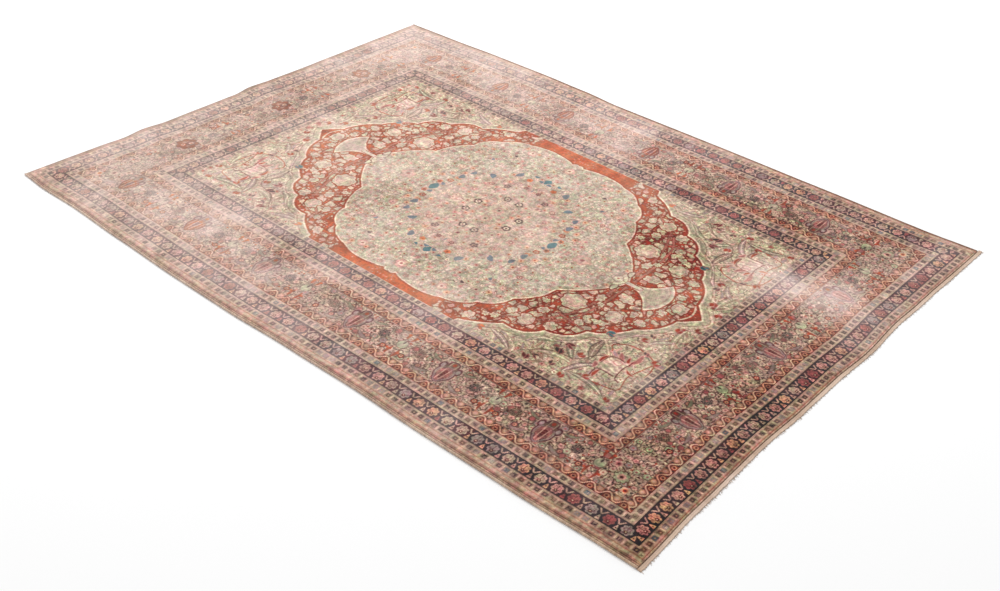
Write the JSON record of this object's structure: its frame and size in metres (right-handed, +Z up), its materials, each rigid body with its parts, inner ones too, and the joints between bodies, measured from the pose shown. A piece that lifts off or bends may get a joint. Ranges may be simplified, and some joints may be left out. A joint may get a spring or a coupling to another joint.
{
  "type": "persian rug",
  "caption": "Worn hand-knotted rug lying flat, with a lobed medallion, a wide patterned border, corded long sides and a short fringed web at one end.",
  "frame": {"origin": "on the floor, under the middle of the rug's bounding box", "axes": "+X along the rug's length, towards the end with the fringed web; +Y across its width; +Z up from the floor"},
  "size_m": [1.8172, 1.336, 0.0066],
  "materials": {
    "pile": "worn, washed wool pile with a soft low sheen, knotted in brick red, madder, celadon, beige, blue-grey and aubergine",
    "selvedge": "matt overcast wool in cream and pale pink",
    "selvedge_worn": "matt overcast wool in drab brown",
    "warp": "off-white cotton warp, flat-woven and frayed"
  },
  "bodies": {
    "root": {"knotted_cloth": "pile", "selvedge_near": "selvedge", "selvedge_far": "selvedge_worn", "end_web": "warp"}
  },
  "joints": []
}
